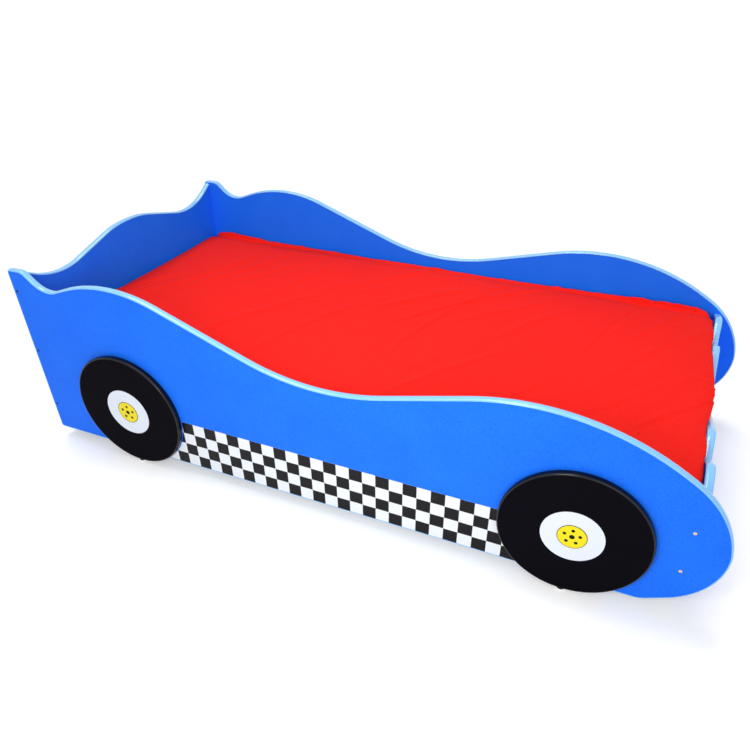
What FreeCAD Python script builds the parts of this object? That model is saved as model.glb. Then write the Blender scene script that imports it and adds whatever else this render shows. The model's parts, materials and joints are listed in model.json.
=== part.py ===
import FreeCAD, Part
import math
import os

# Children's car bed, in millimetres.
# +X points to the nose (the foot end), +Z up. The floor is z = 0, and the
# origin lies under the middle of the bed. The right-hand side is at -Y.

Vector = FreeCAD.Vector

# ---------------------------------------------------------------- boards
board = 18.0                    # laminated board used for every panel
panel_length = 2000.0           # side panel, rear edge to nose, bare board
clear_width = 938.0             # between the two side panels
panel_bottom = 37.0             # lower edge of the side panels above the floor

# Side panel outline, as corners of straight lines that are rounded off.
# Each corner is (distance from the rear edge, height above the floor, radius).
fin_radius = 6.0
fin_height = 581.0
fin_shoulder_rise = 1.0
rear_outline = [
    (0.0, panel_bottom, fin_radius),            # rear lower corner
    (0.0, fin_height, fin_radius),              # tip of the tail fin
    (49.0, fin_height + fin_shoulder_rise, 30.0),
    (117.0, 521.0, 87.0),                       # scoop behind the fin
    (355.0, 607.0, 446.0),                      # rear hump
    (968.5, 385.5, 664.0),                      # low waist for getting in
]
# The rest is measured back from the nose: (distance from the nose, height, radius).
nose_outline = [
    (362.0, 555.0, 636.0),                      # hump over the front wheel
    (22.0, 352.0, 245.0),                       # bonnet
    (0.0, 231.0, 100.0),                        # top of the nose
    (0.0, 113.0, 174.0),                        # lower nose
    (151.0, panel_bottom, 60.0),                # chin
]

# Headboard outline over its half width: (distance from the middle, height, radius).
headboard_bottom = panel_bottom + fin_radius + 4.0      # clear of the fins' rounded lower corners
headboard_end_height = fin_height - fin_radius
headboard_scoop = (345.0, 501.0, 250.0)
headboard_hump = (60.0, 578.0, 380.0)

# Front panel, set back from the noses, with four humps along its top edge.
front_setback = 85.0            # middle of the front panel behind the nose
front_bottom = 110.0
front_end_height = 369.0
front_outer_hump = (380.0, 393.0, 55.0)
front_valley = (303.0, 345.0, 24.0)
front_inner_hump = (224.0, 379.0, 55.0)
front_dip_height = 301.0        # in the middle, between the inner humps
front_dip_radius = 190.0

# ---------------------------------------------------------------- edge moulding
moulding_width = 20.0           # a little wider than the board
moulding_crown = 5.0            # rise of the rounded face above the board's edge
wheel_moulding_width = board    # flush on the wheels, so that they lie flat on the panels
tongue_thickness = 1.6
tongue_depth = 6.0
crown_flat_share = 0.45         # part of the moulding's width that is flat on top
slot_play = 0.15                # between the tongue and each wall of the slot
slot_spare_depth = 0.4
slot_stop = 8.0                 # slot and tongue stop this far before a sharp corner
moulding_end_gap = 0.2          # where the cross panels' mouldings stop short

# ---------------------------------------------------------------- wheels
wheel_radius = 185.0            # over the moulding
wheel_thickness = 18.0
wheel_height = 190.0            # of the centre above the floor
rear_wheel_from_rear = 338.0
wheelbase = 1330.0
hub_radius = 76.0
hub_thickness = 0.5
glide_radius = 11.0
glide_face_radius = 8.0

# ---------------------------------------------------------------- checkered strip
square = 39.2
square_rows = 4
strip_thickness = 0.3
strip_first_column = 523.0      # rear edge of the first whole column behind the wheel
strip_columns_rearwards = 2
strip_columns = 29
wheel_film_gap = 0.5            # round the wheels, to the film and to the moulding under them

# ---------------------------------------------------------------- mattress and base
mattress_end_gap = 4.0          # to the headboard and to the front panel
mattress_side_gap = 9.0         # to each side panel
mattress_thickness = 150.0
mattress_corner = 70.0
mattress_edge = 30.0
mattress_crown = 6.0
sheet_thickness = 1.5
sheet_tuck = 90.0               # turned under the mattress all round
soft_gap = 0.3                  # between the sheet and the slats that it rests on
slat_top = 240.0
slat_thickness = 18.0
slat_width = 90.0
slat_count = 13
slat_play = 2.0                 # at each end of a slat
webbing_width = 25.0            # the tapes that keep the slats apart
webbing_thickness = 1.0
webbing_inset = 110.0           # of each tape's middle from its side panel
cleat_height = 40.0
cleat_width = 20.0
cleat_play = 1.0

# ---------------------------------------------------------------- screws
screw_radius = 1.9
screw_tip_radius = 1.0
screw_head_radius = 4.0
screw_head_depth = 2.4
screw_play = 0.1                # hole larger than the screw, on the radius
screw_sides = 6                 # flats that stand in for the round shank and head
panel_screw_length = 45.0
cleat_screw_length = 32.0
slat_screw_length = 34.0
wheel_screw_length = 30.0
wheel_screw_circle = 110.0
wheel_screw_count = 3
side_cleat_screw_step = 3       # slat spaces from one screw to the next
end_cleat_screw_spacing = 500.0
headboard_low_screw = 88.0      # above the panel's lower edge
headboard_high_screw = 55.0     # below the headboard's outer end
front_low_screw = 50.0          # above the front panel's lower edge
front_high_screw = 87.0         # below the front panel's outer end

# ---------------------------------------------------------------- derived places
rear_x = -panel_length / 2
nose_x = panel_length / 2
inner_y = clear_width / 2
outer_y = inner_y + board
headboard_inner_x = rear_x + board
front_middle_x = nose_x - front_setback
front_inner_x = front_middle_x - board / 2
bed_length = front_inner_x - headboard_inner_x
mattress_length = bed_length - 2 * mattress_end_gap
mattress_width = clear_width - 2 * mattress_side_gap
wheel_xs = {"rear": rear_x + rear_wheel_from_rear}
wheel_xs["front"] = wheel_xs["rear"] + wheelbase
disc_radius = wheel_radius - moulding_crown
cleat_top = slat_top - slat_thickness
cleat_middle = cleat_top - cleat_height / 2
slat_span = bed_length - 2 * slat_play
slat_pitch = (slat_span - slat_width) / (slat_count - 1)
first_slat_x = headboard_inner_x + slat_play + slat_width / 2
slot_width = tongue_thickness + 2 * slot_play
slot_depth = tongue_depth + slot_spare_depth
moulding_overhang = (moulding_width - board) / 2
cross_moulding_end = inner_y - moulding_overhang - moulding_end_gap
glide_height = wheel_height - wheel_radius
sheet_bottom = slat_top + soft_gap
mattress_bottom = sheet_bottom + sheet_thickness
SIDES = {"right": -1, "left": 1}


# ---------------------------------------------------------------- planes
class Plane:
    """A drawing plane: 2D points (u, v) at a depth along the board's thickness."""

    def __init__(self, to_space, depth_axis, turn_axis):
        self.to_space = to_space
        self.depth_axis = depth_axis
        self.turn_axis = turn_axis


LENGTHWISE = Plane(lambda u, v, depth: Vector(u, depth, v), Vector(0, 1, 0), Vector(0, -1, 0))
CROSSWISE = Plane(lambda u, v, depth: Vector(depth, u, v), Vector(1, 0, 0), Vector(1, 0, 0))


# ---------------------------------------------------------------- outlines
def unit(u, v):
    length = math.hypot(u, v)
    return u / length, v / length


def round_corner(before, corner, after):
    """Centre, tangent points and turn of the arc that rounds one corner."""
    u, v, radius = corner
    in_u, in_v = unit(u - before[0], v - before[1])
    out_u, out_v = unit(after[0] - u, after[1] - v)
    turn = math.atan2(in_u * out_v - in_v * out_u, in_u * out_u + in_v * out_v)
    reach = radius * math.tan(abs(turn) / 2)
    start = (u - in_u * reach, v - in_v * reach)
    end = (u + out_u * reach, v + out_v * reach)
    side = math.copysign(1.0, turn)
    centre = (start[0] - in_v * radius * side, start[1] + in_u * radius * side)
    return {"centre": centre, "radius": radius, "turn": turn, "start": start, "end": end}


def rounded_path(corners, closed):
    """Lines and tangent arcs through a list of corners (u, v, radius)."""
    count = len(corners)
    rounded = []
    for i in range(count):
        if closed or 0 < i < count - 1:
            rounded.append(round_corner(corners[i - 1], corners[i], corners[(i + 1) % count]))
        else:
            point = corners[i][:2]
            rounded.append({"start": point, "end": point, "radius": 0.0})
    path = []
    for i in range(count):
        if rounded[i]["radius"] > 0:
            path.append(dict(rounded[i], kind="arc"))
        if i + 1 < count or closed:
            following = rounded[(i + 1) % count]
            path.append({"kind": "line", "start": rounded[i]["end"], "end": following["start"]})
    return path


def path_edges(path, plane, depth):
    edges = []
    for piece in path:
        start = plane.to_space(*piece["start"], depth)
        end = plane.to_space(*piece["end"], depth)
        if piece["kind"] == "line":
            edges.append(Part.LineSegment(start, end).toShape())
            continue
        centre_u, centre_v = piece["centre"]
        from_centre = math.atan2(piece["start"][1] - centre_v, piece["start"][0] - centre_u)
        half_way = from_centre + piece["turn"] / 2
        middle_u = centre_u + piece["radius"] * math.cos(half_way)
        middle_v = centre_v + piece["radius"] * math.sin(half_way)
        middle = plane.to_space(middle_u, middle_v, depth)
        edges.append(Part.Arc(start, middle, end).toShape())
    return edges


def panel_from(edges, plane):
    return Part.Face(Part.Wire(edges)).extrude(plane.depth_axis * board)


# ---------------------------------------------------------------- moulding
def moulding_profile(width, tongue):
    """Section of the moulding: corners (across, outwards), with or without its tongue."""
    half = width / 2
    flat = half * crown_flat_share
    right = [(flat, moulding_crown), (half, 0.0)]
    if tongue:
        right += [(tongue_thickness / 2, 0.0), (tongue_thickness / 2, -tongue_depth)]
    left = [(-across, outwards) for across, outwards in reversed(right)]
    return right + left


def slot_profile():
    half = slot_width / 2
    top = moulding_crown
    return [(-half, top), (half, top), (half, -slot_depth), (-half, -slot_depth)]


def profile_face(profile, plane, depth, point, normal):
    corners = []
    for across, outwards in profile:
        u = point[0] + normal[0] * outwards
        v = point[1] + normal[1] * outwards
        corners.append(plane.to_space(u, v, depth + across))
    return Part.Face(Part.makePolygon(corners + corners[:1]))


def carried_straight(profile, piece, plane, depth, start_stop, end_stop):
    """Profile carried along a line, short of its ends by the stops."""
    along_u, along_v = unit(piece["end"][0] - piece["start"][0], piece["end"][1] - piece["start"][1])
    start_u = piece["start"][0] + along_u * start_stop
    start_v = piece["start"][1] + along_v * start_stop
    end_u = piece["end"][0] - along_u * end_stop
    end_v = piece["end"][1] - along_v * end_stop
    face = profile_face(profile, plane, depth, (start_u, start_v), (-along_v, along_u))
    travel = plane.to_space(end_u, end_v, depth) - plane.to_space(start_u, start_v, depth)
    return face.extrude(travel)


def carried_round(profile, piece, plane, depth):
    """Profile carried round an arc."""
    centre_u, centre_v = piece["centre"]
    outwards = unit(piece["start"][0] - centre_u, piece["start"][1] - centre_v)
    if piece["turn"] > 0:
        outwards = (-outwards[0], -outwards[1])
    face = profile_face(profile, plane, depth, piece["start"], outwards)
    centre = plane.to_space(centre_u, centre_v, depth)
    return face.revolve(centre, plane.turn_axis, math.degrees(piece["turn"]))


def is_sharp(piece):
    """A corner that a tongue can't be bent round."""
    return piece["kind"] == "arc" and piece["radius"] <= slot_depth


def moulding(path, plane, depth):
    """Moulding along a path whose inside is on its right. Its tongue is notched away
    at sharp corners, where only the crown goes round."""
    crown = moulding_profile(moulding_width, tongue=False)
    section = moulding_profile(moulding_width, tongue=True)
    solids = []
    for i, piece in enumerate(path):
        if is_sharp(piece):
            solids.append(carried_round(crown, piece, plane, depth))
        elif piece["kind"] == "arc":
            solids.append(carried_round(section, piece, plane, depth))
        else:
            before, after = path[i - 1], path[(i + 1) % len(path)]
            tongue_stop = slot_stop + slot_spare_depth
            start_stop = tongue_stop if is_sharp(before) else 0.0
            end_stop = tongue_stop if is_sharp(after) else 0.0
            solids.append(carried_straight(section, piece, plane, depth, start_stop, end_stop))
            length = math.dist(piece["start"], piece["end"])
            if start_stop:
                solids.append(carried_straight(crown, piece, plane, depth, 0.0, length - start_stop))
            if end_stop:
                solids.append(carried_straight(crown, piece, plane, depth, length - end_stop, 0.0))
    return solids[0].multiFuse(solids[1:]).removeSplitter()


def slot(path, plane, depth):
    """The routed slot for a moulding's tongue."""
    profile = slot_profile()
    solids = []
    for i, piece in enumerate(path):
        if is_sharp(piece):
            continue
        if piece["kind"] == "arc":
            solids.append(carried_round(profile, piece, plane, depth))
            continue
        start_stop = slot_stop if is_sharp(path[i - 1]) else 0.0
        end_stop = slot_stop if is_sharp(path[(i + 1) % len(path)]) else 0.0
        solids.append(carried_straight(profile, piece, plane, depth, start_stop, end_stop))
    return solids[0].multiFuse(solids[1:]).removeSplitter()


# ---------------------------------------------------------------- screws
def ring_of_flats(radius, centre, direction):
    """Regular polygon round an axis that lies along X, Y or Z."""
    across = Vector(abs(direction.y) + abs(direction.z), abs(direction.x), 0)
    upwards = direction.cross(across)
    corners = []
    for i in range(screw_sides):
        angle = 2 * math.pi * i / screw_sides
        corners.append(centre + across * radius * math.cos(angle) + upwards * radius * math.sin(angle))
    return Part.makePolygon(corners + corners[:1])


def screw_form(tip_direction, head_at, length, play):
    """Countersunk wood screw, its flat head flush at head_at, or the hole for it."""
    rim = ring_of_flats(screw_head_radius + play, head_at, tip_direction)
    neck_at = head_at + tip_direction * screw_head_depth
    neck = ring_of_flats(screw_radius + play, neck_at, tip_direction)
    tip_at = head_at + tip_direction * (length + play)
    tip = ring_of_flats(screw_tip_radius + play, tip_at, tip_direction)
    return Part.makeLoft([rim, neck, tip], True, True)


def headboard_screw_places(side):
    low = panel_bottom + headboard_low_screw
    high = headboard_end_height - headboard_high_screw
    heights = [low, (low + high) / 2, high]
    return [Vector(rear_x + board / 2, side * outer_y, height) for height in heights]


def front_screw_places(side):
    heights = [front_bottom + front_low_screw, front_end_height - front_high_screw]
    return [Vector(front_middle_x, side * outer_y, height) for height in heights]


def wheel_screw_places(side, wheel_x):
    places = []
    for i in range(wheel_screw_count):
        angle = math.radians(90 + 360 * i / wheel_screw_count)
        x = wheel_x + wheel_screw_circle * math.cos(angle)
        z = wheel_height + wheel_screw_circle * math.sin(angle)
        places.append(Vector(x, side * inner_y, z))
    return places


def cleat_screw_places(side):
    """Between slats, spread along a side cleat."""
    places = []
    for i in range(1, slat_count - 1, side_cleat_screw_step):
        x = first_slat_x + (i + 0.5) * slat_pitch
        places.append(Vector(x, side * (inner_y - cleat_width), cleat_middle))
    return places


def end_cleat_screw_places(x):
    half = end_cleat_screw_spacing / 2
    return [Vector(x, -half, cleat_middle), Vector(x, half, cleat_middle)]


def slat_screw_places():
    """The slats hang together on their tapes, so only the two end slats are screwed down."""
    y = inner_y - cleat_width / 2
    last_slat_x = first_slat_x + (slat_count - 1) * slat_pitch
    return [Vector(x, side * y, slat_top) for x in (first_slat_x, last_slat_x) for side in (-1, 1)]


def drill(shape, direction, places, length):
    return shape.cut([screw_form(direction, place, length, screw_play) for place in places])


def screws(direction, places, length):
    return [screw_form(direction, place, length, 0.0) for place in places]


# ---------------------------------------------------------------- panels
def side_path():
    """The side panel's outline, clockwise seen from the right."""
    corners = [(rear_x + u, v, radius) for u, v, radius in rear_outline]
    corners += [(nose_x - u, v, radius) for u, v, radius in nose_outline]
    return rounded_path(corners, closed=True)


def side_panel(side):
    near_face = outer_y if side < 0 else -inner_y
    depth = -near_face
    panel = panel_from(path_edges(side_path(), LENGTHWISE, depth), LENGTHWISE)
    panel = panel.cut(slot(side_path(), LENGTHWISE, depth + board / 2))
    inwards = Vector(0, -side, 0)
    outwards = Vector(0, side, 0)
    panel = drill(panel, inwards, headboard_screw_places(side), panel_screw_length)
    panel = drill(panel, inwards, front_screw_places(side), panel_screw_length)
    for wheel_x in wheel_xs.values():
        panel = drill(panel, outwards, wheel_screw_places(side, wheel_x), wheel_screw_length)
    return drill(panel, outwards, cleat_screw_places(side), cleat_screw_length)


def side_moulding(side):
    """Edge moulding all round a side panel, shaved flush where the wheels lie over it."""
    strip = moulding(side_path(), LENGTHWISE, side * (inner_y + board / 2))
    for wheel_x in wheel_xs.values():
        middle = Vector(wheel_x, side * outer_y, wheel_height)
        radius = wheel_radius + wheel_film_gap
        strip = strip.cut(Part.makeCylinder(radius, board, middle, Vector(0, side, 0)))
    return strip


def cross_moulding(top_path, x):
    """Moulding of a cross panel, cut square where it meets the side panels."""
    strip = moulding(top_path, CROSSWISE, x + board / 2)
    corner = Vector(x - board, -cross_moulding_end, panel_bottom)
    span = Part.makeBox(3 * board, 2 * cross_moulding_end, 2 * fin_height, corner)
    return strip.common(span)


def symmetric_path(half_corners):
    """A top edge from -Y to +Y, given from the end inwards on the +Y half."""
    left = [(-u, v, radius) for u, v, radius in half_corners]
    right = list(reversed(half_corners))
    if right[0][0] == 0:
        right = right[1:]
    return rounded_path(left + right, closed=False)


def headboard_path():
    end = (inner_y, headboard_end_height, 0.0)
    return symmetric_path([end, headboard_scoop, headboard_hump])


def front_path():
    end = (inner_y, front_end_height, 0.0)
    dip = (0.0, front_dip_height, front_dip_radius)
    return symmetric_path([end, front_outer_hump, front_valley, front_inner_hump, dip])


def cross_panel(top_path, bottom, x):
    """A panel between the side panels with a shaped top edge and square lower corners."""
    edges = path_edges(top_path, CROSSWISE, x)
    left_top = CROSSWISE.to_space(*top_path[-1]["end"], x)
    right_top = CROSSWISE.to_space(*top_path[0]["start"], x)
    left_foot = Vector(x, inner_y, bottom)
    right_foot = Vector(x, -inner_y, bottom)
    for start, end in ((left_top, left_foot), (left_foot, right_foot), (right_foot, right_top)):
        edges.append(Part.LineSegment(start, end).toShape())
    panel = panel_from(edges, CROSSWISE)
    return panel.cut(slot(top_path, CROSSWISE, x + board / 2))


def headboard():
    panel = cross_panel(headboard_path(), headboard_bottom, rear_x)
    for side in SIDES.values():
        panel = drill(panel, Vector(0, -side, 0), headboard_screw_places(side), panel_screw_length)
    places = end_cleat_screw_places(headboard_inner_x + cleat_width)
    return drill(panel, Vector(-1, 0, 0), places, cleat_screw_length)


def front_panel():
    panel = cross_panel(front_path(), front_bottom, front_inner_x)
    for side in SIDES.values():
        panel = drill(panel, Vector(0, -side, 0), front_screw_places(side), panel_screw_length)
    places = end_cleat_screw_places(front_inner_x - cleat_width)
    return drill(panel, Vector(1, 0, 0), places, cleat_screw_length)


# ---------------------------------------------------------------- wheels
def wheel_disc(side, wheel_x):
    middle = Vector(wheel_x, side * outer_y, wheel_height)
    outwards = Vector(0, side, 0)
    disc = Part.makeCylinder(disc_radius, wheel_thickness, middle, outwards)
    return drill(disc, outwards, wheel_screw_places(side, wheel_x), wheel_screw_length)


def wheel_moulding(side, wheel_x):
    """Ring of moulding round a wheel. Its tongue is trimmed off, as on any small disc."""
    top = (wheel_x, wheel_height + disc_radius)
    depth = side * (outer_y + wheel_thickness / 2)
    profile = moulding_profile(wheel_moulding_width, tongue=False)
    face = profile_face(profile, LENGTHWISE, depth, top, (0.0, 1.0))
    centre = LENGTHWISE.to_space(wheel_x, wheel_height, depth)
    return face.revolve(centre, LENGTHWISE.turn_axis, 360)


def hub_disc(side, wheel_x):
    face = Vector(wheel_x, side * (outer_y + wheel_thickness), wheel_height)
    return Part.makeCylinder(hub_radius, hub_thickness, face, Vector(0, side, 0))


def glide(side, wheel_x):
    """Glide under the wheel, where the wheel would touch the floor."""
    foot = Vector(wheel_x, side * (outer_y + wheel_thickness / 2), 0)
    return Part.makeCone(glide_face_radius, glide_radius, glide_height, foot)


# ---------------------------------------------------------------- checkered strip
def checker_strip(side):
    """Printed film along the lower edge, cut round the two wheels."""
    start = rear_x + strip_first_column - strip_columns_rearwards * square
    face_y = outer_y if side > 0 else -outer_y - strip_thickness
    corner = Vector(start, face_y, panel_bottom)
    strip = Part.makeBox(strip_columns * square, strip_thickness, square_rows * square, corner)
    for wheel_x in wheel_xs.values():
        foot = Vector(wheel_x, face_y - board, wheel_height)
        opening = Part.makeCylinder(wheel_radius + wheel_film_gap, 3 * board, foot, Vector(0, 1, 0))
        strip = strip.cut(opening)
    return strip


# ---------------------------------------------------------------- slatted base
def side_cleat(side):
    start_x = headboard_inner_x + cleat_play
    length = bed_length - 2 * cleat_play
    low_y = inner_y - cleat_width if side > 0 else -inner_y
    corner = Vector(start_x, low_y, cleat_top - cleat_height)
    cleat = Part.makeBox(length, cleat_width, cleat_height, corner)
    cleat = drill(cleat, Vector(0, side, 0), cleat_screw_places(side), cleat_screw_length)
    return drill(cleat, Vector(0, 0, -1), slat_screw_places(), slat_screw_length)


def end_cleat(low_x, screw_x, direction):
    half = inner_y - cleat_width - cleat_play
    corner = Vector(low_x, -half, cleat_top - cleat_height)
    cleat = Part.makeBox(cleat_width, 2 * half, cleat_height, corner)
    return drill(cleat, direction, end_cleat_screw_places(screw_x), cleat_screw_length)


def slat(index):
    middle_x = first_slat_x + index * slat_pitch
    half = inner_y - slat_play
    corner = Vector(middle_x - slat_width / 2, -half, cleat_top)
    bar = Part.makeBox(slat_width, 2 * half, slat_thickness, corner)
    if index in (0, slat_count - 1):
        bar = drill(bar, Vector(0, 0, -1), slat_screw_places(), slat_screw_length)
    return bar


def slat_webbing(side):
    """Woven tape stapled along the undersides of the slats."""
    low_y = side * (inner_y - webbing_inset) - webbing_width / 2
    corner = Vector(first_slat_x - slat_width / 2, low_y, cleat_top - webbing_thickness)
    tape = Part.makeBox(slat_span, webbing_width, webbing_thickness, corner)
    cleats = Part.makeBox(bed_length - 2 * cleat_width, clear_width, cleat_height)
    cleats.translate(Vector(headboard_inner_x + cleat_width, -inner_y, cleat_top - cleat_height))
    return tape.common(cleats)


# ---------------------------------------------------------------- mattress
def soft_slab(grow, bottom, top):
    """Mattress form, larger by grow on each side: rounded corners and a crowned top."""
    length = mattress_length + 2 * grow
    width = mattress_width + 2 * grow
    middle_x = (headboard_inner_x + front_inner_x) / 2
    corner = Vector(middle_x - length / 2, -width / 2, bottom)
    slab = Part.makeBox(length, width, top - bottom, corner)
    uprights = [edge for edge in slab.Edges if edge.BoundBox.ZLength > mattress_edge]
    slab = slab.makeFillet(mattress_corner + grow, uprights)
    crown_radius = (width / 2) ** 2 / (2 * mattress_crown)
    axis_foot = Vector(corner.x - length, 0, top - crown_radius)
    crown = Part.makeCylinder(crown_radius, 3 * length, axis_foot, Vector(1, 0, 0))
    slab = slab.common(crown)
    rims = [edge for edge in slab.Edges if edge.BoundBox.ZLength < mattress_edge]
    return slab.makeChamfer(mattress_edge, rims)


def mattress():
    return soft_slab(0.0, mattress_bottom, mattress_bottom + mattress_thickness)


def fitted_sheet():
    """Cotton sheet drawn over the mattress and turned under it all round."""
    top = mattress_bottom + mattress_thickness
    cover = soft_slab(sheet_thickness, sheet_bottom, top + sheet_thickness)
    opening_length = mattress_length - 2 * sheet_tuck
    opening_width = mattress_width - 2 * sheet_tuck
    middle_x = (headboard_inner_x + front_inner_x) / 2
    corner = Vector(middle_x - opening_length / 2, -opening_width / 2, sheet_bottom)
    opening = Part.makeBox(opening_length, opening_width, mattress_thickness / 2, corner)
    return cover.cut([mattress(), opening])


# ---------------------------------------------------------------- build
def build():
    nodes = {}
    for name, side in SIDES.items():
        nodes["side_panel_" + name] = side_panel(side)
        nodes["side_moulding_" + name] = side_moulding(side)
        nodes["checker_strip_" + name] = checker_strip(side)
        nodes["side_cleat_" + name] = side_cleat(side)
        nodes["slat_webbing_" + name] = slat_webbing(side)
        for end, wheel_x in wheel_xs.items():
            place = end + "_" + name
            nodes["wheel_disc_" + place] = wheel_disc(side, wheel_x)
            nodes["wheel_moulding_" + place] = wheel_moulding(side, wheel_x)
    nodes["headboard"] = headboard()
    nodes["headboard_moulding"] = cross_moulding(headboard_path(), rear_x)
    nodes["front_panel"] = front_panel()
    nodes["front_moulding"] = cross_moulding(front_path(), front_inner_x)
    head_screw_x = headboard_inner_x + cleat_width
    foot_screw_x = front_inner_x - cleat_width
    nodes["head_cleat"] = end_cleat(headboard_inner_x, head_screw_x, Vector(-1, 0, 0))
    nodes["foot_cleat"] = end_cleat(foot_screw_x, foot_screw_x, Vector(1, 0, 0))
    for index in range(slat_count):
        nodes["slat_%02d" % (index + 1)] = slat(index)
    nodes["mattress"] = mattress()
    nodes["fitted_sheet"] = fitted_sheet()

    groups = {"glides": [], "hub_discs": [], "headboard_screws": [],
              "front_panel_screws": [], "wheel_screws": [], "cleat_screws": []}
    for side in SIDES.values():
        inwards = Vector(0, -side, 0)
        outwards = Vector(0, side, 0)
        groups["headboard_screws"] += screws(inwards, headboard_screw_places(side), panel_screw_length)
        groups["front_panel_screws"] += screws(inwards, front_screw_places(side), panel_screw_length)
        groups["cleat_screws"] += screws(outwards, cleat_screw_places(side), cleat_screw_length)
        for wheel_x in wheel_xs.values():
            groups["glides"].append(glide(side, wheel_x))
            groups["hub_discs"].append(hub_disc(side, wheel_x))
            places = wheel_screw_places(side, wheel_x)
            groups["wheel_screws"] += screws(outwards, places, wheel_screw_length)
    for screw_x, direction in ((head_screw_x, Vector(-1, 0, 0)), (foot_screw_x, Vector(1, 0, 0))):
        groups["cleat_screws"] += screws(direction, end_cleat_screw_places(screw_x), cleat_screw_length)
    groups["slat_screws"] = screws(Vector(0, 0, -1), slat_screw_places(), slat_screw_length)
    for name, solids in groups.items():
        nodes[name] = Part.makeCompound(solids)
    return nodes


os.makedirs("parts", exist_ok=True)
for node_name, node_shape in build().items():
    node_shape.exportStep("parts/%s.step" % node_name)
    print("%-28s solids %2d  volume %12.0f  valid %s" % (
        node_name, len(node_shape.Solids), node_shape.Volume, node_shape.isValid()))
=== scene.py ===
# %% [markdown]
# A children's car bed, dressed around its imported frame.
# The frame holds every board, screw and wheel at its real place and size. This
# script gives those pieces their finishes, and models again what a plain solid
# can't show: the rounded edge moulding, the mattress and its cotton sheet, the
# wheel badges, the glides and the screw heads. All sizes are in metres.

# %% Load the frame
import json
import math

import bpy
import numpy as np
from mathutils import Matrix, Vector

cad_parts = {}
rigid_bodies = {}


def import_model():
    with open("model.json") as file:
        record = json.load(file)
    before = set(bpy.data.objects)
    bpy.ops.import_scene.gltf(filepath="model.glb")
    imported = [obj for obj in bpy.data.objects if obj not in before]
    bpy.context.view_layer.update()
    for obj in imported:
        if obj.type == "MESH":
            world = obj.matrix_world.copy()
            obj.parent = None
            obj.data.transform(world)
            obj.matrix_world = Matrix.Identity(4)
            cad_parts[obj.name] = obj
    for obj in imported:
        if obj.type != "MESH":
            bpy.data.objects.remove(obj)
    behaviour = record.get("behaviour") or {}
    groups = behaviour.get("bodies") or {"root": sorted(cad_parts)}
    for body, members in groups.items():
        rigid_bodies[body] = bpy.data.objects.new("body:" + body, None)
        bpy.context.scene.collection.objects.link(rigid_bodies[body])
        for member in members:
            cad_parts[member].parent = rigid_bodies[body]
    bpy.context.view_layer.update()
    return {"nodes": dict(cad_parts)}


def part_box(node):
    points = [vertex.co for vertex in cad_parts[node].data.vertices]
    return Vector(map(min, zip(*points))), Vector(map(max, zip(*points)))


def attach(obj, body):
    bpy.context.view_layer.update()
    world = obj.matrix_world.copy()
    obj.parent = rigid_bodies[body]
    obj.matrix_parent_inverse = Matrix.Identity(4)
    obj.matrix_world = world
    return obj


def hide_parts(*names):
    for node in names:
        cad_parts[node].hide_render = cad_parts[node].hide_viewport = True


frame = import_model()
nodes = frame["nodes"]

# %% [markdown]
# The camera comes first, because the framing decides how fine each piece has to
# be. It stands in front of the near side, above the front wheel, and looks back
# along the bed. The wide lens gives the strong perspective of the near nose.

# %% Camera
CAMERA_PLACE = (0.7003, -1.7038, 1.3174)
CAMERA_TILT_DEG = (53.486, 0.590, 23.853)
CAMERA_LENS_MM = 31.592
CAMERA_RISE = 0.0794


def add_object(name, data):
    """Makes an object in the scene."""
    made = bpy.data.objects.new(name, data)
    bpy.context.scene.collection.objects.link(made)
    return made


camera_data = bpy.data.cameras.new("camera")
camera_data.lens = CAMERA_LENS_MM
camera_data.shift_y = CAMERA_RISE
camera = add_object("camera", camera_data)
camera.location = CAMERA_PLACE
camera.rotation_euler = [math.radians(angle) for angle in CAMERA_TILT_DEG]
bpy.context.scene.camera = camera
print("camera stands", round(camera.location.z, 2), "m above the floor")

# %% [markdown]
# Operators act on everything that is selected, so each step starts from a clean
# selection. These helpers are used all through the lesson.


# %% Selection helpers
def deselect_all():
    for obj in bpy.context.view_layer.objects:
        obj.select_set(False)


def select_only(obj):
    deselect_all()
    obj.select_set(True)
    bpy.context.view_layer.objects.active = obj


def enter_edit(everything=False):
    bpy.ops.object.mode_set(mode="EDIT")
    if everything:
        bpy.ops.mesh.select_all(action="SELECT")


def leave_edit():
    bpy.ops.object.mode_set(mode="OBJECT")


def newest():
    """The object that the last operator made."""
    return bpy.context.view_layer.objects.active


def apply_place(obj):
    """The object's place and size go into its mesh, so that it sits at the origin."""
    select_only(obj)
    bpy.ops.object.transform_apply(location=True, rotation=True, scale=True)


def apply_modifier(obj, kind, **settings):
    """Adds a modifier with these settings, and applies it."""
    select_only(obj)
    modifier = obj.modifiers.new(kind.lower(), kind)
    for name, value in settings.items():
        setattr(modifier, name, value)
    bpy.ops.object.modifier_apply(modifier=modifier.name)


def choose(obj, kind, wanted):
    """Selects only the wanted edges or faces, for the next visit to edit mode."""
    select_only(obj)
    enter_edit()
    bpy.ops.mesh.select_mode(type=kind)
    bpy.ops.mesh.select_all(action="DESELECT")
    leave_edit()
    for element in obj.data.edges if kind == "EDGE" else obj.data.polygons:
        element.select = wanted(element)


LEVEL = 0.9
deselect_all()
print("nothing is selected")

# %% [markdown]
# Materials are built from nodes. These helpers add nodes and join them, in a
# material as well as in a node group. Colours are written as they look on screen,
# from 0 to 255, and turned into the linear values that the shader works with.


# %% Node helpers
def screen_colour(red, green, blue):
    linear = []
    for part in (red, green, blue):
        share = part / 255
        dark = share <= 0.04045
        linear.append(share / 12.92 if dark else ((share + 0.055) / 1.055) ** 2.4)
    return (*linear, 1.0)


def set_inputs(node, values):
    """Values for a node's inputs. An underscore stands for a space in a name."""
    for name, value in values.items():
        node.inputs[name.replace("_", " ")].default_value = value
    return node


def add_node(tree, kind, **values):
    return set_inputs(tree.nodes.new(kind), values)


def noise(tree, **values):
    return add_node(tree, "ShaderNodeTexNoise", **values)


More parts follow.
